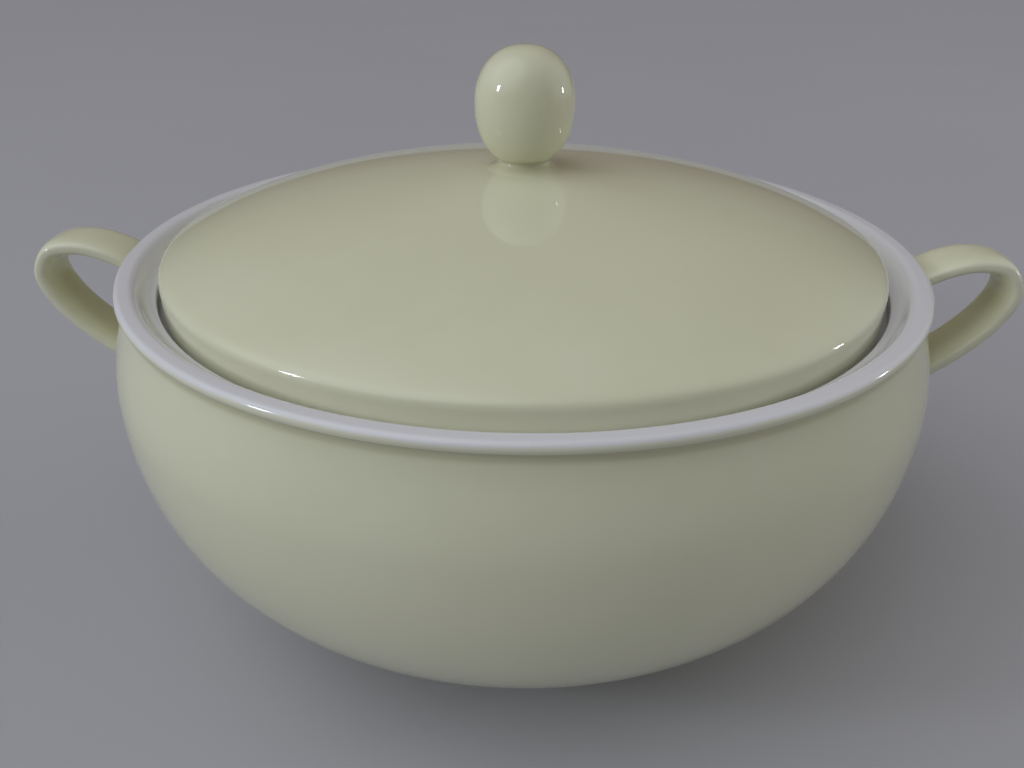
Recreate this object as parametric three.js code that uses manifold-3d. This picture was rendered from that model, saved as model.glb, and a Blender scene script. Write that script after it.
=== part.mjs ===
// Soup tureen: a round-bellied bowl with two strap handles, and a lid with a ball knob.
// Millimetres, +Z up. The foot stands on z = 0 and the handles lie along X.
import * as THREE from "three";
import { mergeVertices } from "three/addons/utils/BufferGeometryUtils.js";
import Module from "manifold-3d";

// ---- Driving dimensions, mm ----

// Bowl, outside
const RIM_RADIUS = 120; // widest circle of the rolled lip
const RIM_HEIGHT = 112.6; // height of that circle
const LIP_ROUND = 1.7; // radius of the lip's outer roll
const NECK_INSET = 1.6; // the neck is narrower than the rim by this, on radius
const NECK_DROP = 2.4; // narrowest circle of the neck, below the rim
const BELLY_SWELL = 3.6; // the belly is wider than the rim by this, on radius
const BELLY_DROP = 28.2; // widest circle of the belly, below the rim
const FOOT_RADIUS = 58;
const FOOT_WIDTH = 5; // width of the foot ring
const FOOT_HEIGHT = 5; // height of the foot ring's outer face
const FOOT_RECESS = 4; // the underside inside the ring, above the table
const FOOT_EDGE = 1; // rounding of the ring's lower edges

// Bowl, inside
const WALL = 5.6;
const FLOOR = 6.5;
const LIP_WIDTH = 6.8; // from the rim's widest circle in to the lip's inner drop
const GALLERY_WIDTH = 10.8; // from the rim's widest circle in to the mouth
const GALLERY_DROP = 3.2; // the narrow shelf around the mouth, below the rim
const LEDGE_DROP = 7.8; // the ledge that the lid rests on, below the rim
const LEDGE_WIDTH = 6;
const LEDGE_THICKNESS = 4.6;

// Lid
const LID_CLEARANCE = 1.3; // between the lid's side and the mouth, on radius
const LID_EDGE_RISE = 3.8; // the lid's shoulder circle, above the rim
const LID_PEAK = 18.1; // rise of the gently peaked dome
const LID_PEAK_POWER = 1.53;
const LID_ROLL = 4.2; // further rise that rolls the dome over towards its edge
const LID_ROLL_POWER = 6.8;
const LID_SHOULDER = 2.2; // rounding between the dome and the lid's side
const LID_THICKNESS = 4.8;
const LID_RIM_WIDTH = 4.6; // width of the turned-down rim

// Knob
const KNOB_RADIUS = 14.7;
const KNOB_RISE = 18.1; // its widest circle, above the lid's top
const KNOB_UPPER = 16.4; // from its widest circle up to its top
const KNOB_LOWER = 18; // depth of the oval below its widest circle, cut off by the neck
const KNOB_FULLNESS = 2.2; // exponent of the oval: 2 would be an ellipse
const KNOB_NECK = 8; // radius of the neck
const KNOB_FOOT_FLARE = 2.6; // how much wider the neck gets where it meets the lid

// Handles
const HANDLE_WIDTH = 17.9;
const HANDLE_THICKNESS = 5.6;
const HANDLE_EDGE = 2.4; // rounding of the strap's long edges
const HANDLE_REACH = 31.8; // outermost point of the strap's middle line, beyond the rim
const HANDLE_UPPER_ROOT = 10; // where the upper arm enters the wall, below the rim
const HANDLE_LOWER_ROOT = 43; // where the lower arm enters the wall, below the rim

// Clearances
const JOINT_GAP = 0.3; // between pieces that are luted together
const SEAT_GAP = 0.3; // between the resting lid and its ledge

// Sides and steps of the solids
const BOWL_SIDES = 48;
const KNOB_SIDES = 24;
const HANDLE_STEPS = 28;
const EDGE_STEPS = 2;

// ---- Outlines: every outline point is (radius, height) ----

const point = (radius, height) => new THREE.Vector2(radius, height);

// An arc about (radius, height), between two angles in degrees, 0 being outwards.
function arc(radius, height, size, from, to, steps) {
  return Array.from({ length: steps + 1 }, (_, i) => {
    const angle = THREE.MathUtils.degToRad(from + ((to - from) * i) / steps);
    return point(radius + size * Math.cos(angle), height + size * Math.sin(angle));
  });
}

function bezier(steps, start, startPull, endPull, end) {
  return new THREE.CubicBezierCurve(start, startPull, endPull, end).getPoints(steps);
}

// Drops points that coincide with the one before, as arcs and curves meet end to end.
function joined(...pieces) {
  const all = pieces.flat();
  return all.filter((p, i) => i === 0 || p.distanceTo(all[i - 1]) > 0.01);
}

// Moves an open outline sideways: outwards for an outline that runs upwards.
function moved(outline, distance) {
  return outline.map((p, i) => {
    const before = outline[Math.max(i - 1, 0)];
    const after = outline[Math.min(i + 1, outline.length - 1)];
    const along = after.clone().sub(before).normalize();
    return point(p.x + along.y * distance, p.y - along.x * distance);
  });
}

// Turns an outline about the vertical axis.
function turned(outline, sides) {
  return new THREE.LatheGeometry(outline, sides).rotateX(Math.PI / 2);
}

// ---- Bowl ----

const BELLY_RADIUS = RIM_RADIUS + BELLY_SWELL;
const BELLY_HEIGHT = RIM_HEIGHT - BELLY_DROP;
const NECK_RADIUS = RIM_RADIUS - NECK_INSET;
const NECK_HEIGHT = RIM_HEIGHT - NECK_DROP;
const CREST_HEIGHT = RIM_HEIGHT + LIP_ROUND;
const LIP_INNER = RIM_RADIUS - LIP_WIDTH;
const SHELF_HEIGHT = RIM_HEIGHT - GALLERY_DROP;
const MOUTH_RADIUS = RIM_RADIUS - GALLERY_WIDTH;
const LEDGE_HEIGHT = RIM_HEIGHT - LEDGE_DROP;
const LEDGE_RADIUS = MOUTH_RADIUS - LEDGE_WIDTH;

// The belly from the foot ring up to its widest circle, a flat curve that turns steep.
function lowerBelly() {
  const root = point(FOOT_RADIUS + 1.5, FOOT_HEIGHT + 1.2);
  return bezier(
    10,
    root,
    point(root.x + 22.3, root.y + 6.7),
    point(BELLY_RADIUS, BELLY_HEIGHT * 0.355),
    point(BELLY_RADIUS, BELLY_HEIGHT),
  );
}

// From the widest circle in to the neck, just under the lip.
function shoulder() {
  return bezier(
    4,
    point(BELLY_RADIUS, BELLY_HEIGHT),
    point(BELLY_RADIUS, BELLY_HEIGHT + 0.4 * (NECK_HEIGHT - BELLY_HEIGHT)),
    point(NECK_RADIUS + 0.5, NECK_HEIGHT - 3),
    point(NECK_RADIUS, NECK_HEIGHT),
  );
}

function lip() {
  return arc(RIM_RADIUS - LIP_ROUND, RIM_HEIGHT, LIP_ROUND, -65, 90, 5);
}

// The foot ring, from the axis outwards: recess, inner face, flat standing face, outer face.
function foot() {
  const inner = FOOT_RADIUS - FOOT_WIDTH;
  return [
    point(0, FOOT_RECESS),
    point(inner - 1, FOOT_RECESS),
    ...arc(inner + FOOT_EDGE, FOOT_EDGE, FOOT_EDGE, 180, 270, EDGE_STEPS),
    ...arc(FOOT_RADIUS - FOOT_EDGE, FOOT_EDGE, FOOT_EDGE, 270, 360, EDGE_STEPS),
    point(FOOT_RADIUS, FOOT_HEIGHT - 0.5),
  ];
}

// From the lip's crest in and down: lip, narrow shelf, mouth, ledge for the lid.
function gallery() {
  const corner = 0.7;
  return joined(
    bezier(
      3,
      point(RIM_RADIUS - LIP_ROUND, CREST_HEIGHT),
      point(LIP_INNER + 2, CREST_HEIGHT + 0.1),
      point(LIP_INNER + 0.6, CREST_HEIGHT - 0.5),
      point(LIP_INNER, CREST_HEIGHT - 1.6),
    ),
    bezier(
      3,
      point(LIP_INNER, CREST_HEIGHT - 1.6),
      point(LIP_INNER - 0.7, SHELF_HEIGHT + 1),
      point(LIP_INNER - 1.4, SHELF_HEIGHT),
      point(MOUTH_RADIUS + corner, SHELF_HEIGHT),
    ),
    arc(MOUTH_RADIUS + corner, SHELF_HEIGHT - corner, corner, 90, 180, EDGE_STEPS),
    point(MOUTH_RADIUS, LEDGE_HEIGHT),
    arc(LEDGE_RADIUS + corner, LEDGE_HEIGHT - corner, corner, 90, 180, EDGE_STEPS),
    point(LEDGE_RADIUS, LEDGE_HEIGHT - LEDGE_THICKNESS),
  );
}

// The inside below the ledge, down to the axis, one wall inside the outer face.
function interior() {
  const wallLine = moved(joined(lowerBelly(), shoulder()), -WALL);
  const top = LEDGE_HEIGHT - LEDGE_THICKNESS - 8;
  const floor = FOOT_RECESS + FLOOR;
  const side = wallLine.filter((p) => p.y < top && p.y > floor + 4);
  return [...side.reverse(), point(FOOT_RADIUS - 8, floor), point(0, floor)];
}

function bowlGeometry() {
  return turned(joined(foot(), lowerBelly(), shoulder(), lip(), gallery(), interior()), BOWL_SIDES);
}

// The bowl's outer shape filled in, grown all round: what a luted piece is cut back to.
function bowlEnvelope(growth) {
  const skin = moved(joined(lowerBelly(), shoulder(), lip()), growth);
  return turned([point(0, skin[0].y), ...skin, point(0, skin.at(-1).y)], BOWL_SIDES);
}

// ---- Lid ----

const LID_RADIUS = MOUTH_RADIUS - LID_CLEARANCE;
const LID_EDGE_HEIGHT = RIM_HEIGHT + LID_EDGE_RISE;

// Height of the lid's top face at a radius.
function domeHeight(radius) {
  const u = radius / LID_RADIUS;
  const peak = LID_PEAK * (1 - u ** LID_PEAK_POWER);
  const roll = LID_ROLL * (1 - u ** LID_ROLL_POWER);
  return LID_EDGE_HEIGHT + peak + roll;
}

// The dome's outline from one radius to another.
function dome(from, to, steps) {
  return Array.from({ length: steps + 1 }, (_, i) => {
    const radius = THREE.MathUtils.lerp(from, to, i / steps);
    return point(radius, domeHeight(radius));
  });
}

function lidGeometry() {
  const bottom = LEDGE_HEIGHT + SEAT_GAP;
  const edge = 1.2;
  const inner = LID_RADIUS - LID_RIM_WIDTH;
  const top = dome(LID_RADIUS - LID_SHOULDER, 0, 11);
  const underside = moved(dome(inner - 4, 0, 7).reverse(), LID_THICKNESS);
  underside[0].x = 0;
  const outline = joined(
    underside,
    bezier(
      3,
      underside.at(-1),
      point(inner - 1, underside.at(-1).y - 1.5),
      point(inner, underside.at(-1).y - 2),
      point(inner, underside.at(-1).y - 5),
    ),
    arc(inner + edge, bottom + edge, edge, 180, 270, EDGE_STEPS),
    arc(LID_RADIUS - edge, bottom + edge, edge, 270, 360, EDGE_STEPS),
    bezier(
      4,
      point(LID_RADIUS, LID_EDGE_HEIGHT - LID_SHOULDER),
      point(LID_RADIUS, LID_EDGE_HEIGHT - 0.6),
      point(LID_RADIUS - 0.6, LID_EDGE_HEIGHT + 0.2),
      top[0],
    ),
    top,
  );
  return turned(outline, BOWL_SIDES);
}

// ---- Knob ----

// Half of an oval about the knob's widest circle: angle 90 is its top, -90 its bottom.
function oval(height, depth, from, to, steps) {
  return Array.from({ length: steps + 1 }, (_, i) => {
    const angle = THREE.MathUtils.degToRad(from + ((to - from) * i) / steps);
    const out = Math.abs(Math.cos(angle)) ** (2 / KNOB_FULLNESS);
    const up = Math.abs(Math.sin(angle)) ** (2 / KNOB_FULLNESS) * Math.sign(Math.sin(angle));
    return point(angle >= Math.PI / 2 ? 0 : KNOB_RADIUS * out, height + depth * up);
  });
}

function knobGeometry() {
  const middle = domeHeight(0) + KNOB_RISE;
  const neckAngle = -THREE.MathUtils.radToDeg(Math.acos((KNOB_NECK / KNOB_RADIUS) ** (KNOB_FULLNESS / 2)));
  const foot = KNOB_NECK + KNOB_FOOT_FLARE;
  const outline = joined(
    dome(0, foot, 3).map((p) => point(p.x, p.y + JOINT_GAP)),
    oval(middle, KNOB_LOWER, neckAngle, 0, 6),
    oval(middle, KNOB_UPPER, 0, 90, 7),
  );
  return turned(outline, KNOB_SIDES);
}

// ---- Handles ----

// The strap's middle line in the XZ plane, from the upper root round to the lower root.
function handlePath() {
  const along = (out, down) => new THREE.Vector3(RIM_RADIUS + out, 0, RIM_HEIGHT - down);
  return new THREE.CatmullRomCurve3([
    along(-4, HANDLE_UPPER_ROOT + 2),
    along(2, HANDLE_UPPER_ROOT - 3.4),
    along(0.35 * HANDLE_REACH, 2.1),
    along(0.62 * HANDLE_REACH, 0.4),
    along(0.88 * HANDLE_REACH, 2.1),
    along(HANDLE_REACH, 9.3),
    along(0.9 * HANDLE_REACH, 0.42 * HANDLE_LOWER_ROOT),
    along(0.6 * HANDLE_REACH, 0.67 * HANDLE_LOWER_ROOT),
    along(0, HANDLE_LOWER_ROOT),
    along(-6, HANDLE_LOWER_ROOT + 4),
  ]);
}

// The strap's section: flat, with its long edges rounded.
function strapSection() {
  const edge = Math.min(HANDLE_EDGE, 0.45 * HANDLE_THICKNESS);
  const halfWidth = HANDLE_WIDTH / 2 - edge;
  const halfThickness = HANDLE_THICKNESS / 2 - edge;
  const corners = [
    [halfWidth, halfThickness, 0],
    [-halfWidth, halfThickness, 90],
    [-halfWidth, -halfThickness, 180],
    [halfWidth, -halfThickness, 270],
  ];
  return new THREE.Shape(corners.flatMap(([x, y, from]) => arc(x, y, edge, from, from + 90, 3)));
}

// ---- Solids: joins and cuts ----

const wasm = await Module();
wasm.setup();

function solidOf(geometry) {
  const bare = geometry.clone().deleteAttribute("normal").deleteAttribute("uv");
  const merged = mergeVertices(bare, 1e-3);
  return new wasm.Manifold(
    new wasm.Mesh({
      numProp: 3,
      vertProperties: merged.attributes.position.array,
      triVerts: new Uint32Array(merged.index.array),
    }),
  );
}

function geometryOf(solid) {
  const mesh = solid.getMesh();
  return new THREE.BufferGeometry()
    .setAttribute("position", new THREE.BufferAttribute(mesh.vertProperties, 3))
    .setIndex(new THREE.BufferAttribute(mesh.triVerts, 1));
}

function handleGeometry() {
  const strap = new THREE.ExtrudeGeometry(strapSection(), {
    steps: HANDLE_STEPS,
    extrudePath: handlePath(),
    bevelEnabled: false,
  });
  const trimmed = solidOf(strap).subtract(solidOf(bowlEnvelope(JOINT_GAP)));
  return geometryOf(trimmed);
}

// ---- Materials ----

const CREAM_GLAZE = 0xdedcc2;

function glaze() {
  return new THREE.MeshStandardMaterial({ color: CREAM_GLAZE, roughness: 0.12, metalness: 0 });
}

// ---- Assembly ----

function piece(name, geometry) {
  const mesh = new THREE.Mesh(geometry, glaze());
  mesh.name = name;
  return mesh;
}

const bowlGroup = new THREE.Group();
bowlGroup.add(piece("bowl", bowlGeometry()));

const handle = handleGeometry();
bowlGroup.add(piece("handle_right", handle));
const leftHandle = piece("handle_left", handle.clone());
leftHandle.rotation.z = Math.PI;
bowlGroup.add(leftHandle);

const lidGroup = new THREE.Group();
lidGroup.add(piece("lid", lidGeometry()));
lidGroup.add(piece("knob", knobGeometry()));

const tureen = new THREE.Group();
tureen.add(bowlGroup, lidGroup);

export default tureen;
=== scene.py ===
"""A covered soup tureen: glazed bowl with two strap handles, and a lid with a ball knob.

Outlines are drawn in millimetres and turned or swept into meshes in metres.
"""
import math

import bpy
import numpy as np
from mathutils import Matrix, Vector


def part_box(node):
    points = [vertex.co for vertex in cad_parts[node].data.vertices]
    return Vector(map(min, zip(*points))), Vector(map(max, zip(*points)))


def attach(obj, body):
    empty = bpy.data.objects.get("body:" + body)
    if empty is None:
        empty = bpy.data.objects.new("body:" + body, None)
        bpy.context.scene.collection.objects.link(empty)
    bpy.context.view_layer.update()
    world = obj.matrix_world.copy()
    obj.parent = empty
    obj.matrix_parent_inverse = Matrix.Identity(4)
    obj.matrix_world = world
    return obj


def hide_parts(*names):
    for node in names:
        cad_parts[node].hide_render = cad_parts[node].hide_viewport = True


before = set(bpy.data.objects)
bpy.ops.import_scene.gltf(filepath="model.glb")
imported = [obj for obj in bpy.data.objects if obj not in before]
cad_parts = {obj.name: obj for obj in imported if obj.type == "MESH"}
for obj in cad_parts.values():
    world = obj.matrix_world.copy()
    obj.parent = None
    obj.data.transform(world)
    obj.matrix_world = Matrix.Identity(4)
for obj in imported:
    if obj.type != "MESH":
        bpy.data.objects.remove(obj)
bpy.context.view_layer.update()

# ---- Sizes, mm: the outer ones come from the CAD model's boxes ----

MM = 0.001


def box_mm(node_name):
    """The lowest and the highest corner of a CAD node's box."""
    low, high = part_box(node_name)
    return low / MM, high / MM


_, BOWL_HIGH = box_mm("bowl")
LID_LOW, LID_HIGH = box_mm("lid")
_, KNOB_HIGH = box_mm("knob")
_, HANDLE_HIGH = box_mm("handle_right")

# Bowl, outside
BELLY_RADIUS = BOWL_HIGH.x
CREST_HEIGHT = BOWL_HIGH.z
BELLY_SWELL = 3.6  # the belly is wider than the rim by this, on radius
BELLY_DROP = 28.2  # widest circle of the belly, below the rim
LIP_ROUND = 1.7  # radius of the lip's outer roll
LIP_FLAT = 1.9  # width of the lip's level crest
LIP_START = -65  # degrees on the lip's roll, where it leaves the neck
GLAZE_LINE = 22  # degrees on the lip's roll, where the outside glaze gives way to the lining
NECK_INSET = 1.6
NECK_DROP = 3.4
FOOT_RADIUS = 58
FOOT_WIDTH = 5
FOOT_HEIGHT = 5
FOOT_RECESS = 4
FOOT_EDGE = 1
FOOT_FLARE = (1.5, 1.2)  # the curve from the foot ring into the belly, out and up
RECESS_CURVE = 3  # width of the curve between the recess and the foot ring
BELLY_ROOT_PULL = (22.3, 6.7)  # how far out and up the belly keeps its direction at its root
BELLY_SIDE_PULL = 0.355  # height down to which it keeps upright, as a share of its widest height
SHOULDER_PULL = 0.4  # share of the shoulder's rise in which it keeps upright
NECK_PULL = (0.5, 3)  # how the shoulder comes into the neck, from outside and below

# Bowl, inside
WALL = 5.6
FLOOR = 6.5
GALLERY_WIDTH = 10.8
GALLERY_DROP = 3.2
LEDGE_DROP = 7.8
LEDGE_WIDTH = 6
LEDGE_THICKNESS = 4.6
GALLERY_PULL = 3.4  # how softly the slope leaves the crest and meets the shelf
CORNER = 0.7  # rounding of the gallery's corners
UNDERLEDGE = 8  # height in which the inside runs from the ledge out to the wall
BASIN_RISE = 4  # height above the floor where the wall begins to turn into it
BASIN_EDGE = 14  # how far inside the foot ring's outer edge the floor is level

RIM_RADIUS = BELLY_RADIUS - BELLY_SWELL
RIM_HEIGHT = CREST_HEIGHT - LIP_ROUND
BELLY_HEIGHT = RIM_HEIGHT - BELLY_DROP
NECK_RADIUS = RIM_RADIUS - NECK_INSET
NECK_HEIGHT = RIM_HEIGHT - NECK_DROP
SHELF_HEIGHT = RIM_HEIGHT - GALLERY_DROP
MOUTH_RADIUS = RIM_RADIUS - GALLERY_WIDTH
LEDGE_HEIGHT = RIM_HEIGHT - LEDGE_DROP
LEDGE_RADIUS = MOUTH_RADIUS - LEDGE_WIDTH

# Lid
LID_RADIUS = LID_HIGH.x
LID_BOTTOM = LID_LOW.z
LID_TOP = LID_HIGH.z
LID_PEAK = 18.1  # rise of the gently peaked dome
LID_PEAK_POWER = 1.53
LID_ROLL = 4.2  # further rise that rolls the dome over towards its edge
LID_ROLL_POWER = 6.8
LID_SHOULDER = 2.2  # rounding between the dome and the lid's side
LID_THICKNESS = 4.8
LID_RIM_WIDTH = 4.6
LID_RIM_EDGE = 1.2
LID_TURN = 4  # width of the curve between the lid's underside and its rim
LID_EDGE_HEIGHT = LID_TOP - LID_PEAK - LID_ROLL

# Knob
KNOB_RADIUS = KNOB_HIGH.x
KNOB_TOP = KNOB_HIGH.z
KNOB_UPPER = 16.4  # from its widest circle up to its top
KNOB_LOWER = 18  # depth of the oval below its widest circle, cut off by the neck
KNOB_FULLNESS = 2.2  # exponent of the oval: 2 would be an ellipse
KNOB_NECK = 8
KNOB_FOOT = 12.5  # radius of the edge of the neck's fillet
KNOB_FOOT_SINK = 0.12  # depth of that edge under the lid's surface

# Handles
HANDLE_WIDTH = 17.9
HANDLE_THICKNESS = 5.6
HANDLE_FULLNESS = 2.8  # exponent of the strap's section: 2 would be an ellipse
HANDLE_MARGIN = 0.03  # keeps the strap inside the CAD model's box
HANDLE_REACH = HANDLE_HIGH.x - RIM_RADIUS - HANDLE_THICKNESS / 2 - HANDLE_MARGIN
HANDLE_UPPER_ROOT = 10
HANDLE_LOWER_ROOT = 43
UPPER_FILLET = 1.6  # where the strap is luted to the bowl
LOWER_FILLET = 3.2
SINK = 0.8  # how far luted ends go into the body they sit on
LOOP_PAINTED_SHADE = 0.4  # how much painted shade deepens the strap's inner face towards the deep cream

TURNED_SIDES = 256
STRAP_SIDES = 72
STRAP_STEPS = 96  # along the free part of the strap
SKIN_STEP = 0.25  # between points of the bowl's outer face, where the straps are fitted to it
GLAZE_BLUR = 0.9  # how far along the surface the glaze smooths out an edge
OUT_OF_ROUND = 0.18  # warp of a fired ring, inwards only
FAR = 50  # a distance along an outline that stands for "nowhere near"


# ---- Outlines: arrays of (radius, height) ----


def line(start, end, steps):
    return np.linspace(start, end, steps + 1)


def arc(radius, height, size, start, end, steps):
    """An arc about (radius, height) between two angles in degrees, 0 being outwards."""
    angles = np.radians(np.linspace(start, end, steps + 1))
    return np.column_stack([radius + size * np.cos(angles), height + size * np.sin(angles)])


def bezier(start, start_pull, end_pull, end, steps):
    t = np.linspace(0, 1, steps + 1)[:, None]
    start, start_pull, end_pull, end = map(np.array, (start, start_pull, end_pull, end))
    ends = (1 - t) ** 3 * start + t**3 * end
    return ends + 3 * (1 - t) * t * ((1 - t) * start_pull + t * end_pull)


def moved(outline, distance):
    """The outline moved sideways: outwards for an outline that runs upwards."""
    along = np.gradient(outline, axis=0)
    along /= np.linalg.norm(along, axis=1)[:, None]
    return outline + distance * np.column_stack([along[:, 1], -along[:, 0]])


def joined(stretches):
    """(points, glaze of each point) of stretches that meet end to end, as (glaze, points) pairs."""
    points = np.vstack([stretch for _, stretch in stretches])
    glazes = np.concatenate([[glaze] * len(stretch) for glaze, stretch in stretches])
    steps = np.linalg.norm(np.diff(points, axis=0), axis=1)
    kept = np.concatenate([[True], steps > 0.01])
    return points[kept], glazes[kept]


def lengths(points):
    """The distance of each point along its line."""
    steps = np.linalg.norm(np.diff(points, axis=0), axis=1)
    return np.concatenate([[0], np.cumsum(steps)])


def resampled(points, places):
    """The line's points at the given distances along it."""
    along = lengths(points)
    return np.column_stack([np.interp(places, along, column) for column in points.T])


def reach(points, glazes, wanted):
    """How far each point is inside the stretch of the wanted glaze, along it; negative outside."""
    along = lengths(points)
    inside = glazes == wanted
    switches = along[1:][inside[1:] != inside[:-1]]
    if len(switches) == 0:
        return np.full(len(points), FAR if inside[0] else -FAR, float)
    distance = np.abs(along[:, None] - switches).min(axis=1)
    return np.where(inside, distance, -distance)


def sharpness(points, closed=False):
    """Convexity at each point, blurred as a glaze is.

    It is 1 or more on a sharp edge, and negative in a hollow.
    """
    before = points - np.roll(points, 1, axis=0)
    after = np.roll(points, -1, axis=0) - points
    turn = np.arctan2(
        before[:, 0] * after[:, 1] - before[:, 1] * after[:, 0], (before * after).sum(axis=1)
    )
    if not closed:
        turn[[0, -1]] = 0
    along = lengths(points)
    apart = np.abs(along[:, None] - along)
    if closed:
        around = along[-1] + np.linalg.norm(points[0] - points[-1])
        apart = np.minimum(apart, around - apart)
    weight = np.exp(-((apart / GLAZE_BLUR) ** 2)) / (GLAZE_BLUR * math.sqrt(math.pi))
    return 2 * weight @ turn


# ---- Bowl ----


def foot():
    """From the axis out over the recess, round the standing ring and up to the belly's root."""
    inner = FOOT_RADIUS - FOOT_WIDTH
    recess_end = (inner - RECESS_CURVE, FOOT_RECESS)
    inner_curve = bezier(
        recess_end, (inner - 1, FOOT_RECESS), (inner, FOOT_RECESS - 0.4), (inner, FOOT_EDGE), 8
    )
    outer_curve = bezier(
        (FOOT_RADIUS, FOOT_EDGE + 0.4),
        (FOOT_RADIUS, FOOT_HEIGHT - 0.6),
        (FOOT_RADIUS + 0.4, FOOT_HEIGHT + 0.7),
        belly_root(),
        8,
    )
    return [
        ("cream", line((0, FOOT_RECESS), recess_end, 12)),
        ("cream", inner_curve),
        ("bare", arc(inner + FOOT_EDGE, FOOT_EDGE, FOOT_EDGE, 180, 270, 6)),
        ("bare", arc(FOOT_RADIUS - FOOT_EDGE, FOOT_EDGE, FOOT_EDGE, 270, 360, 6)),
        ("cream", outer_curve),
    ]


def belly_root():
    return (FOOT_RADIUS + FOOT_FLARE[0], FOOT_HEIGHT + FOOT_FLARE[1])


def lower_belly():
    """From the foot ring up to the widest circle, a flat curve that turns steep."""
    root = belly_root()
    return bezier(
        root,
        (root[0] + BELLY_ROOT_PULL[0], root[1] + BELLY_ROOT_PULL[1]),
        (BELLY_RADIUS, BELLY_HEIGHT * BELLY_SIDE_PULL),
        (BELLY_RADIUS, BELLY_HEIGHT),
        72,
    )


def shoulder():
    """From the widest circle in to the neck, just under the lip."""
    return bezier(
        (BELLY_RADIUS, BELLY_HEIGHT),
        (BELLY_RADIUS, BELLY_HEIGHT + SHOULDER_PULL * (NECK_HEIGHT - BELLY_HEIGHT)),
        (NECK_RADIUS + NECK_PULL[0], NECK_HEIGHT - NECK_PULL[1]),
        (NECK_RADIUS, NECK_HEIGHT),
        28,
    )


def lip(start, end, steps):
    return arc(RIM_RADIUS - LIP_ROUND, RIM_HEIGHT, LIP_ROUND, start, end, steps)


def under_lip():
    """The hollow between the neck and the lip's roll."""
    start = (NECK_RADIUS, NECK_HEIGHT)
    end = lip(LIP_START, LIP_START, 0)[0]
    return bezier(start, (NECK_RADIUS - 0.05, NECK_HEIGHT + 1.1), end - (0.5, 0.26), end, 8)


def gallery():
    """From the lip's crest in and down: soft slope, narrow shelf, mouth, ledge for the lid."""
    crest = (RIM_RADIUS - LIP_ROUND, CREST_HEIGHT)
    inner_crest = (crest[0] - LIP_FLAT, CREST_HEIGHT)
    shelf_end = (MOUTH_RADIUS + CORNER, SHELF_HEIGHT)
    slope = bezier(
        inner_crest,
        (inner_crest[0] - GALLERY_PULL, CREST_HEIGHT),
        (shelf_end[0] + GALLERY_PULL, SHELF_HEIGHT),
        shelf_end,
        32,
    )
    ledge_underside = (LEDGE_RADIUS, LEDGE_HEIGHT - LEDGE_THICKNESS)
    return [
        line(crest, inner_crest, 4),
        slope,
        arc(MOUTH_RADIUS + CORNER, SHELF_HEIGHT - CORNER, CORNER, 90, 180, 6),
        line((MOUTH_RADIUS, SHELF_HEIGHT - CORNER), (MOUTH_RADIUS, LEDGE_HEIGHT + CORNER), 5),
        arc(MOUTH_RADIUS - CORNER, LEDGE_HEIGHT + CORNER, CORNER, 0, -90, 6),
        arc(LEDGE_RADIUS + CORNER, LEDGE_HEIGHT - CORNER, CORNER, 90, 180, 6),
        line((LEDGE_RADIUS, LEDGE_HEIGHT - CORNER), ledge_underside, 5),
    ]


def interior():
    """The inside below the ledge, down to the axis, one wall inside the outer face."""
    floor = FOOT_RECESS + FLOOR
    ledge_bottom = LEDGE_HEIGHT - LEDGE_THICKNESS
    top = ledge_bottom - UNDERLEDGE
    wall_line = moved(np.vstack([lower_belly()[:-1], shoulder()]), -WALL)
    side = wall_line[(wall_line[:, 1] < top) & (wall_line[:, 1] > floor + BASIN_RISE)][::-1]
    upward = (side[0] - side[1]) / np.linalg.norm(side[0] - side[1])
    downward = (side[-1] - side[-2]) / np.linalg.norm(side[-1] - side[-2])
    underledge = bezier(
        (LEDGE_RADIUS, ledge_bottom),
        (LEDGE_RADIUS + 0.5, ledge_bottom - 3),
        side[0] + upward * 3,
        side[0],
        12,
    )
    basin_end = (FOOT_RADIUS - BASIN_EDGE, floor)
    basin = bezier(side[-1], side[-1] + downward * 7, (FOOT_RADIUS - 3, floor), basin_end, 16)
    return [underledge, side, basin, line(basin_end, (0, floor), 12)]


def bowl_outline():
    outside = [lower_belly(), shoulder(), under_lip(), lip(LIP_START, GLAZE_LINE, 18)]
    lining = [lip(GLAZE_LINE + 1, 90, 10), *gallery(), *interior()]
    return joined(
        foot() + [("cream", piece) for piece in outside] + [("lining", piece) for piece in lining]
    )


# ---- Lid and knob ----


def dome_height(radius):
    u = np.asarray(radius) / LID_RADIUS
    peak = LID_PEAK * (1 - u**LID_PEAK_POWER)
    return LID_EDGE_HEIGHT + peak + LID_ROLL * (1 - u**LID_ROLL_POWER)


def dome(start, end, steps):
    radius = np.linspace(start, end, steps + 1)
    return np.column_stack([radius, dome_height(radius)])


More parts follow.
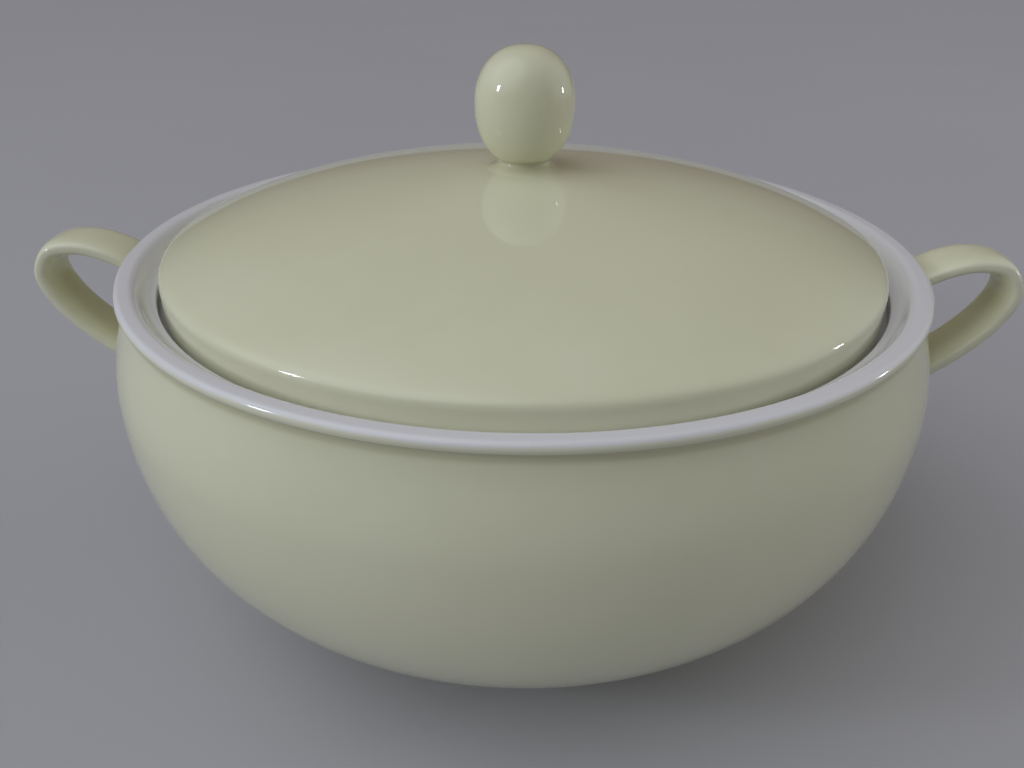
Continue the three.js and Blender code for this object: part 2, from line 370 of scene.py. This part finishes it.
def lid_outline():
    """From the axis out along the underside, round the rim and back over the dome."""
    inner = LID_RADIUS - LID_RIM_WIDTH
    edge = LID_RIM_EDGE
    top = dome(LID_RADIUS - LID_SHOULDER, 0, 72)
    underside = moved(dome(0, inner - LID_TURN, 48), LID_THICKNESS)
    underside[0, 0] = 0
    turn = underside[-1]
    heading = (underside[-1] - underside[-2]) / np.linalg.norm(underside[-1] - underside[-2])
    rim_top = (inner, turn[1] - 5)
    side_top = (LID_RADIUS, LID_EDGE_HEIGHT - LID_SHOULDER)
    shoulder_curve = bezier(
        side_top,
        (LID_RADIUS, LID_EDGE_HEIGHT - 0.6),
        (LID_RADIUS - 0.6, LID_EDGE_HEIGHT + 0.2),
        top[0],
        16,
    )
    return joined(
        [
            ("lining", underside),
            ("lining", bezier(turn, turn + heading * 2, (inner, turn[1] - 2), rim_top, 12)),
            ("lining", line(rim_top, (inner, LID_BOTTOM + edge + 0.3), 4)),
            ("bare", arc(inner + edge, LID_BOTTOM + edge, edge, 180, 270, 8)),
            ("bare", arc(LID_RADIUS - edge, LID_BOTTOM + edge, edge, 270, 350, 8)),
            ("cream", line((LID_RADIUS, LID_BOTTOM + edge), side_top, 10)),
            ("cream", shoulder_curve),
            ("cream", top),
        ]
    )


def oval(height, depth, start, end, steps):
    """Part of the knob's oval, between two angles in degrees: 90 is its top, -90 its bottom."""
    angles = np.radians(np.linspace(start, end, steps + 1))
    power = 2 / KNOB_FULLNESS
    out = np.maximum(np.cos(angles), 0) ** power
    up = np.abs(np.sin(angles)) ** power * np.sign(np.sin(angles))
    return np.column_stack([KNOB_RADIUS * out, height + depth * up])


def knob_outline():
    """From the axis out under the lid's surface, up the fillet and neck, and over the oval."""
    middle = KNOB_TOP - KNOB_UPPER
    neck_angle = -math.degrees(math.acos((KNOB_NECK / KNOB_RADIUS) ** (KNOB_FULLNESS / 2)))
    lower = oval(middle, KNOB_LOWER, neck_angle, 0, 40)
    neck = lower[0]
    heading = (lower[1] - lower[0]) / np.linalg.norm(lower[1] - lower[0])
    foot_edge = np.array([KNOB_FOOT, dome_height(KNOB_FOOT) - KNOB_FOOT_SINK])
    fillet = bezier(foot_edge, foot_edge + (-3.4, 0.36), neck - heading * 1.4, neck, 20)
    buried = dome(0, KNOB_FOOT, 6) - (0, SINK)
    upper = oval(middle, KNOB_UPPER, 0, 90, 48)
    upper[-1, 0] = 0
    return joined([("cream", part) for part in (buried, fillet, lower, upper)])


# ---- Meshes ----


def new_piece(name, points, faces, layers):
    """A smooth mesh object from points in mm, with a float layer of each name for its material."""
    mesh = bpy.data.meshes.new(name)
    mesh.from_pydata(np.asarray(points) * MM, [], faces)
    for key, values in layers.items():
        mesh.attributes.new(key, "FLOAT", "POINT").data.foreach_set("value", values)
    mesh.shade_smooth()
    mesh.validate()
    made = bpy.data.objects.new(name, mesh)
    bpy.context.scene.collection.objects.link(made)
    return made


def lathe_faces(rings, sides):
    """Faces between rings of points, and on to one more point after them for each end."""
    start_pole = rings * sides
    last = start_pole - sides
    faces = []
    for i in range(sides):
        j = (i + 1) % sides
        faces.append((start_pole, j, i))
        faces.append((start_pole + 1, last + i, last + j))
        for ring in range(0, last, sides):
            faces.append((ring + i, ring + j, ring + sides + j, ring + sides + i))
    return faces


def turned(name, outline, warp_turn=0.0):
    """Turns an outline that starts and ends on the axis about the vertical axis."""
    points, glazes = outline
    sides = TURNED_SIDES
    angles = np.arange(sides) * 2 * math.pi / sides
    warp = OUT_OF_ROUND * (1 - np.cos(2 * angles - warp_turn)) / 2
    rings = points[1:-1]
    radius = rings[:, :1] - warp * (rings[:, :1] / BELLY_RADIUS) ** 2
    height = np.repeat(rings[:, 1:], sides, axis=1)
    around = np.stack([radius * np.cos(angles), radius * np.sin(angles), height], axis=-1)
    poles = [[0, 0, points[0, 1]], [0, 0, points[-1, 1]]]
    vertices = np.vstack([around.reshape(-1, 3), poles])
    layers = {
        "lining": reach(points, glazes, "lining"),
        "bare": reach(points, glazes, "bare"),
        "edge": sharpness(points),
    }
    spread = {
        key: np.concatenate([np.repeat(values[1:-1], sides), values[[0, -1]]])
        for key, values in layers.items()
    }
    return new_piece(name, vertices, lathe_faces(len(rings), sides), spread)


def smooth_line(points, steps):
    """A centripetal Catmull-Rom line through the points, with that many steps between two of them."""
    points = np.array(points, float)
    points = np.vstack([2 * points[0] - points[1], points, 2 * points[-1] - points[-2]])
    t = np.linspace(0, 1, steps, endpoint=False)[:, None]
    stretches = []
    for a, b, c, d in zip(points, points[1:], points[2:], points[3:]):
        ab, bc, cd = (math.sqrt(np.linalg.norm(q - p)) for p, q in ((a, b), (b, c), (c, d)))
        leave = ((b - a) / ab - (c - a) / (ab + bc) + (c - b) / bc) * bc
        arrive = ((c - b) / bc - (d - b) / (bc + cd) + (d - c) / cd) * bc
        cubic = 2 * b - 2 * c + leave + arrive
        square = -3 * b + 3 * c - 2 * leave - arrive
        stretches.append(b + leave * t + square * t**2 + cubic * t**3)
    return np.vstack([*stretches, points[-2:-1]])


def handle_path():
    """The strap's middle line as (x, z), from the upper root round to the lower root.

    Each station is its distance out from the rim and down from it.
    """
    stations = [
        (-4, HANDLE_UPPER_ROOT + 2),
        (2, HANDLE_UPPER_ROOT - 3.4),
        (0.35 * HANDLE_REACH, 2.1),
        (0.62 * HANDLE_REACH, 0.4),
        (0.88 * HANDLE_REACH, 2.1),
        (HANDLE_REACH, 9.3),
        (0.9 * HANDLE_REACH, 0.42 * HANDLE_LOWER_ROOT),
        (0.6 * HANDLE_REACH, 0.67 * HANDLE_LOWER_ROOT),
        (0, HANDLE_LOWER_ROOT),
        (-6, HANDLE_LOWER_ROOT + 4),
    ]
    return smooth_line([(RIM_RADIUS + out, RIM_HEIGHT - down) for out, down in stations], 32)


def strap_section():
    """The strap's section as (across, through): a flat oval, thinner towards its long edges."""
    angles = np.linspace(0, 2 * math.pi, STRAP_SIDES, endpoint=False)
    power = 2 / HANDLE_FULLNESS
    across = np.abs(np.cos(angles)) ** power * np.sign(np.cos(angles))
    through = np.abs(np.sin(angles)) ** power * np.sign(np.sin(angles))
    return np.column_stack([HANDLE_WIDTH / 2 * across, HANDLE_THICKNESS / 2 * through])


def bowl_skin():
    """The bowl's outer face as points (radius, height) close together, with outward normals."""
    roll = lip(LIP_START, 90, 28)
    skin = np.vstack([lower_belly()[:-1], shoulder()[:-1], under_lip()[:-1], roll])
    skin = resampled(skin, np.arange(0, lengths(skin)[-1], SKIN_STEP))
    direction = np.gradient(skin, axis=0)
    direction /= np.linalg.norm(direction, axis=1)[:, None]
    return skin, np.column_stack([direction[:, 1], -direction[:, 0]])


def nearest_on_bowl(points, bowl):
    """For points in space: distance to the bowl's outer face, nearest point on it, normal there."""
    skin, normals = bowl
    radius = np.hypot(points[:, 0], points[:, 1])
    flat = np.column_stack([radius, points[:, 2]])
    apart = flat[:, None] - skin
    nearest = (apart**2).sum(axis=-1).argmin(axis=1)
    normal = normals[nearest]
    distance = ((flat - skin[nearest]) * normal).sum(axis=1)
    outward = points[:, :2] / radius[:, None]
    on_bowl = np.column_stack([outward * skin[nearest, :1], skin[nearest, 1]])
    normal_there = np.column_stack([outward * normal[:, :1], normal[:, 1]])
    return distance, on_bowl, normal_there


def luted_end(line_points, outward, fillet, bowl):
    """The end of one long line of the strap, as it runs into the bowl and flares on to its face.

    Gives the index where the flare takes over, and the flare's points.
    """
    touching = 0.02
    distance, _, _ = nearest_on_bowl(line_points, bowl)
    leaves = int(np.argmax(distance < fillet))
    meets = int(np.argmax(distance < touching))
    corner = line_points[meets]
    _, flare_end, normal = nearest_on_bowl(corner[None] + fillet * outward[meets], bowl)
    t = np.linspace(0, 1, 9)[:, None]
    start = line_points[leaves]
    flare = (1 - t) ** 2 * start + 2 * (1 - t) * t * corner + t**2 * flare_end
    return leaves, np.vstack([flare, flare_end - SINK * normal])


def strap_lines(section):
    """The strap's long lines, one for each point of its section, flared at both ends."""
    path = handle_path()
    level = np.zeros(len(path))
    heading = np.gradient(path, axis=0)
    heading /= np.linalg.norm(heading, axis=1)[:, None]
    face = np.column_stack([-heading[:, 1], level, heading[:, 0]])
    middle = np.column_stack([path[:, 0], level, path[:, 1]])
    around = np.gradient(np.vstack([section[-1:], section, section[:1]]), axis=0)[1:-1]
    around /= np.linalg.norm(around, axis=1)[:, None]
    across = np.array([0.0, 1.0, 0.0])
    apex = len(path) // 2
    bowl = bowl_skin()
    lines = []
    for (side, through), (turn_side, turn_through) in zip(section, around):
        points = middle + side * across + through * face
        outward = turn_through * across - turn_side * face
        upper_at, upper_flare = luted_end(points[apex::-1], outward[apex::-1], UPPER_FILLET, bowl)
        lower_at, lower_flare = luted_end(points[apex:], outward[apex:], LOWER_FILLET, bowl)
        free = points[apex - upper_at : apex + lower_at + 1]
        free = resampled(free, np.linspace(0, lengths(free)[-1], STRAP_STEPS + 1))
        lines.append(np.vstack([upper_flare[::-1], free[1:-1], lower_flare]))
    return np.array(lines)


def tube_faces(count, length):
    """Faces between lines of points round a tube, and on to one more point for each end."""
    pole = count * length
    faces = []
    for i in range(count):
        j = (i + 1) % count
        faces.append((pole, i * length, j * length))
        faces.append((pole + 1, j * length + length - 1, i * length + length - 1))
        for k in range(length - 1):
            faces.append((i * length + k, i * length + k + 1, j * length + k + 1, j * length + k))
    return faces


def strap_handle(name, turn):
    """A strap swept along its path, flared where it is luted on; turn is its angle about Z."""
    section = strap_section()
    grid = strap_lines(section)
    count, length = grid.shape[:2]
    ends = [grid[:, 0].mean(axis=0), grid[:, -1].mean(axis=0)]
    vertices = np.vstack([grid.reshape(-1, 3), ends]) @ np.array(Matrix.Rotation(turn, 3, "Z")).T
    # Painted shade: the strap's inner face, shaded inside the loop, is given a deeper cream through
    # the edge layer, as a hollow would be.
    inner_face_shade = LOOP_PAINTED_SHADE * np.clip(-2 * section[:, 1] / HANDLE_THICKNESS, 0, 1)
    edge = np.repeat(sharpness(section, closed=True) - inner_face_shade, length)
    nowhere = np.full(len(vertices), -FAR, float)
    layers = {"lining": nowhere, "bare": nowhere, "edge": np.concatenate([edge, [0, 0]])}
    return new_piece(name, vertices, tube_faces(count, length), layers)


# ---- Materials ----

CREAM = (0.74, 0.74, 0.55, 1)
CREAM_THIN = (0.80, 0.80, 0.68, 1)  # where the glaze runs thin over an edge
CREAM_POOLED_AND_SHADE = (0.58, 0.565, 0.36, 1)  # deeper cream: where the glaze gathers in a hollow, and painted shade under the lip and on the strap's inner face
LINING = (0.765, 0.765, 0.80, 1)
BISCUIT = (0.72, 0.69, 0.62, 1)
SPECK = (0.09, 0.07, 0.05, 1)
BISCUIT_ROUGHNESS = (0.6, 0.6, 0.6, 1)
GLAZE_ROUGHNESS = (0.05, 0.09)  # lowest and highest
GLAZE_IOR = 1.52
FLOOR_DARKER = (0.42, 0.42, 0.455, 1)
FLOOR_LIGHTER = (0.45, 0.45, 0.485, 1)
FLOOR_ROUGHNESS = 0.7


def new_material(name):
    material = bpy.data.materials.new(name)
    material.use_nodes = True
    tree = material.node_tree
    return material, tree, tree.nodes["Principled BSDF"]


def node(tree, kind, inputs=None, **settings):
    """A new shader node; an input is given a value or linked to a socket."""
    made = tree.nodes.new("ShaderNode" + kind)
    for key, value in settings.items():
        setattr(made, key, value)
    for key, value in (inputs or {}).items():
        if isinstance(value, bpy.types.NodeSocket):
            tree.links.new(value, made.inputs[key])
        else:
            made.inputs[key].default_value = value
    return made


def mixed(tree, factor, first, second):
    """Colour between first and second."""
    a_socket, b_socket, result = 6, 7, 2
    made = node(tree, "Mix", {0: factor, a_socket: first, b_socket: second}, data_type="RGBA")
    return made.outputs[result]


def ramp(tree, value, low, high, to_low=0.0, to_high=1.0):
    """A smooth step of value from low to high."""
    made = node(
        tree,
        "MapRange",
        {"Value": value, "From Min": low, "From Max": high, "To Min": to_low, "To Max": to_high},
        interpolation_type="SMOOTHSTEP",
    )
    return made.outputs["Result"]


def maths(tree, operation, first, second):
    return node(tree, "Math", {0: first, 1: second}, operation=operation).outputs["Value"]


def noise(tree, place, scale, detail=2.0):
    """Soft noise, with blotches of about 1 / scale metres."""
    made = node(tree, "TexNoise", {"Vector": place, "Scale": scale, "Detail": detail})
    return made.outputs["Fac"]


def layer(tree, name):
    """A mesh's own value from point to point, as made with its shape."""
    return node(tree, "Attribute", attribute_name=name).outputs["Fac"]


def speck_mask(tree, place):
    """Rare dark iron specks: a small dot in a few of the cells of a coarse lattice."""
    cells = node(tree, "TexVoronoi", {"Vector": place, "Scale": 30.0, "Randomness": 1.0})
    dot = ramp(tree, cells.outputs["Distance"], 0.012, 0.018, 1.0, 0.0)
    pick = node(tree, "SeparateColor", {"Color": cells.outputs["Color"]}).outputs["Red"]
    chosen = maths(tree, "GREATER_THAN", pick, 0.93)
    return maths(tree, "MULTIPLY", dot, chosen)


def cream_colour(tree, place):
    """Cream with faint clouds and mottle, paler over edges, and deeper in hollows where the glaze
    gathers; that deepening also paints shade under the lip and on the strap's inner face.
    """
    clouds = noise(tree, place, 14.0, 3.0)
    mottle = noise(tree, place, 120.0)
    edge = layer(tree, "edge")
    cream = mixed(tree, ramp(tree, clouds, 0.35, 0.65, 0.0, 0.10), CREAM, CREAM_POOLED_AND_SHADE)
    cream = mixed(tree, ramp(tree, mottle, 0.3, 0.7, 0.0, 0.06), cream, CREAM_THIN)
    cream = mixed(tree, ramp(tree, edge, 0.3, 1.3, 0.0, 0.35), cream, CREAM_THIN)
    # Deeper in hollows: partly glaze gathering, partly painted shade in the neck under the lip and on
    # the strap's inner face.
    return mixed(tree, ramp(tree, edge, -0.05, -0.5, 0.0, 0.6), cream, CREAM_POOLED_AND_SHADE)


def lined_and_bare(tree, place):
    """Where the white lining and the bare biscuit are, with borders that wander a little."""
    wander = ramp(tree, noise(tree, place, 35.0), 0.2, 0.8, -0.35, 0.35)
    lined = ramp(tree, maths(tree, "ADD", layer(tree, "lining"), wander), -0.6, 0.6)
    bared = ramp(tree, maths(tree, "ADD", layer(tree, "bare"), wander), -0.15, 0.15)
    return lined, bared


def bump(tree, height, strength, distance, normal=None):
    """A normal that follows the height; distance is in metres."""
    inputs = {"Height": height, "Strength": strength, "Distance": distance}
    if normal is not None:
        inputs["Normal"] = normal
    return node(tree, "Bump", inputs).outputs["Normal"]


def glaze(name, offset):
    """Cream gloss glaze on white porcelain, with a white lining and bare standing edges.

    The offset moves the pattern, so that no two materials have the same one.
    """
    material, tree, shader = new_material(name)
    here = node(tree, "TexCoord").outputs["Object"]
    shifted = node(tree, "VectorMath", {0: here, 1: (offset, 0.0, 0.0)}, operation="ADD")
    place = shifted.outputs["Vector"]

    lined, bared = lined_and_bare(tree, place)
    colour = mixed(tree, lined, cream_colour(tree, place), LINING)
    colour = mixed(tree, bared, colour, BISCUIT)
    colour = mixed(tree, speck_mask(tree, place), colour, SPECK)
    tree.links.new(colour, shader.inputs["Base Color"])

    gloss = ramp(tree, noise(tree, place, 60.0), 0.3, 0.7, *GLAZE_ROUGHNESS)
    rough = mixed(tree, bared, gloss, BISCUIT_ROUGHNESS)
    tree.links.new(rough, shader.inputs["Roughness"])

    ripple = bump(tree, noise(tree, place, 45.0, 1.0), 0.12, 0.0006)
    orange_peel = bump(tree, noise(tree, place, 420.0), 0.06, 0.0001, ripple)
    tree.links.new(orange_peel, shader.inputs["Normal"])
    shader.inputs["IOR"].default_value = GLAZE_IOR
    return material


def plain_floor_material():
    material, tree, shader = new_material("pale_floor")
    place = node(tree, "TexCoord").outputs["Object"]
    tone = mixed(tree, noise(tree, place, 3.0), FLOOR_DARKER, FLOOR_LIGHTER)
    tree.links.new(tone, shader.inputs["Base Color"])
    shader.inputs["Roughness"].default_value = FLOOR_ROUGHNESS
    return material


# ---- Pieces on their bodies ----


def fit(piece, node_name, body, material):
    """Puts a piece in its CAD node's place, on its body."""
    piece.data.materials.append(material)
    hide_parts(node_name)
    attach(piece, body)


def build_tureen():
    bowl_glaze = glaze("bowl_glaze", 0.0)
    handle_glaze = glaze("handle_glaze", 0.37)
    lid_glaze = glaze("lid_glaze", 0.71)
    fit(turned("tureen_bowl", bowl_outline()), "bowl", "bowl_body", bowl_glaze)
    for side, turn in (("right", 0.0), ("left", math.pi)):
        handle = strap_handle("strap_handle_" + side, turn)
        fit(handle, "handle_" + side, "bowl_body", handle_glaze)
    fit(turned("tureen_lid", lid_outline(), 1.1), "lid", "lid_body", lid_glaze)
    fit(turned("ball_knob", knob_outline()), "knob", "lid_body", lid_glaze)


# ---- Camera, light and floor ----

CAMERA_TURN = math.radians(1.15)  # round the object, towards its right handle
CAMERA_BACK = 0.2778  # metres from the axis
CAMERA_HEIGHT = 0.0990  # metres above the rim
CAMERA_YAW = math.radians(-0.62)
CAMERA_PITCH = math.radians(27.93)
CAMERA_ROLL = math.radians(0.53)
CAMERA_LENS = 32.76
CAMERA_SENSOR = 36

# Directions below are an angle round from the front towards the right, and a height, in degrees.

# Each part of the sky: its direction and colour.
SKY_PARTS = [
    (-60, 50, (1.08, 1.12, 1.18)),
    (0, 90, (0.34, 0.34, 0.34)),
    (0, 20, (0.10, 0.10, 0.10)),
    (-100, 15, (0.30, 0.315, 0.33)),
    (100, 15, (0.76, 0.76, 0.74)),
    (180, 20, (0.09, 0.05, 0.045)),
]
SKY_BASE = (0.02, 0.017, 0.015)
SKY_PART_EDGE = 0.64  # cosine of the angle from its middle where a part of the sky ends

# Each window: its name, direction, width, how tall it is in metres, power and colour.
WINDOWS = [
    ("window_left", -66, 20, 0.15, 0.24, 2.6, (0.95, 1.0, 1.05)),
    ("window_right", 100, 10, 0.09, 0.15, 1.1, (1.0, 1.0, 0.98)),
    ("window_front", 45, 3, 0.10, 0.12, 0.06, (1.0, 1.0, 1.0)),
]
WINDOW_DISTANCE = 1.5

FLOOR_SIZE = 8
FLOOR_LEVEL = -0.0001  # just under the foot ring


def towards(turn, height):
    turn, height = math.radians(turn), math.radians(height)
    level = math.cos(height)
    return Vector((math.sin(turn) * level, -math.cos(turn) * level, math.sin(height)))


def add_camera():
    camera = bpy.data.objects.new("camera", bpy.data.cameras.new("camera"))
    camera.data.lens = CAMERA_LENS
    camera.data.sensor_width = CAMERA_SENSOR
    camera.data.clip_start = 0.01
    turn = Matrix.Rotation(CAMERA_TURN, 4, "Z")
    stand = Matrix.Translation((0, -CAMERA_BACK, RIM_HEIGHT * MM + CAMERA_HEIGHT))
    aim = (
        Matrix.Rotation(-CAMERA_YAW, 4, "Z")
        @ Matrix.Rotation(math.pi / 2 - CAMERA_PITCH, 4, "X")
        @ Matrix.Rotation(CAMERA_ROLL, 4, "Z")
    )
    camera.matrix_world = turn @ stand @ aim
    bpy.context.scene.collection.objects.link(camera)
    bpy.context.scene.camera = camera


def add_window(name, turn, height, width, tall, power, colour):
    """A small window that faces the tureen from a direction."""
    light = bpy.data.lights.new(name, "AREA")
    light.shape = "RECTANGLE"
    light.size = width
    light.size_y = tall
    light.energy = power
    light.color = colour
    lamp = bpy.data.objects.new(name, light)
    way = towards(turn, height)
    lamp.location = way * WINDOW_DISTANCE + Vector((0, 0, RIM_HEIGHT * MM))
    lamp.rotation_euler = way.to_track_quat("Z", "Y").to_euler()
    bpy.context.scene.collection.objects.link(lamp)


def soft_world():
    """Soft light, most from the upper left, some from above, the front and both sides.

    A faint warm part comes from behind.
    """
    world = bpy.data.worlds.new("studio")
    world.use_nodes = True
    bpy.context.scene.world = world
    tree = world.node_tree
    way = node(tree, "TexCoord").outputs["Generated"]
    light = SKY_BASE
    for turn, height, colour in SKY_PARTS:
        facing = node(tree, "VectorMath", {0: way, 1: towards(turn, height)}, operation="DOT_PRODUCT")
        share = ramp(tree, facing.outputs["Value"], SKY_PART_EDGE, 1.0)
        part = node(tree, "VectorMath", {0: colour, "Scale": share}, operation="SCALE")
        total = node(tree, "VectorMath", {0: light, 1: part.outputs["Vector"]}, operation="ADD")
        light = total.outputs["Vector"]
    tree.links.new(light, tree.nodes["Background"].inputs["Color"])


def add_floor():
    mesh = bpy.data.meshes.new("floor")
    half = FLOOR_SIZE / 2
    corners = [(-half, -half), (half, -half), (half, half), (-half, half)]
    mesh.from_pydata([(x, y, FLOOR_LEVEL) for x, y in corners], [], [(0, 1, 2, 3)])
    floor = bpy.data.objects.new("floor", mesh)
    floor.data.materials.append(plain_floor_material())
    bpy.context.scene.collection.objects.link(floor)


def build_studio():
    add_floor()
    soft_world()
    for window in WINDOWS:
        add_window(*window)
    bpy.context.scene.view_settings.view_transform = "Standard"


add_camera()
build_tureen()
build_studio()
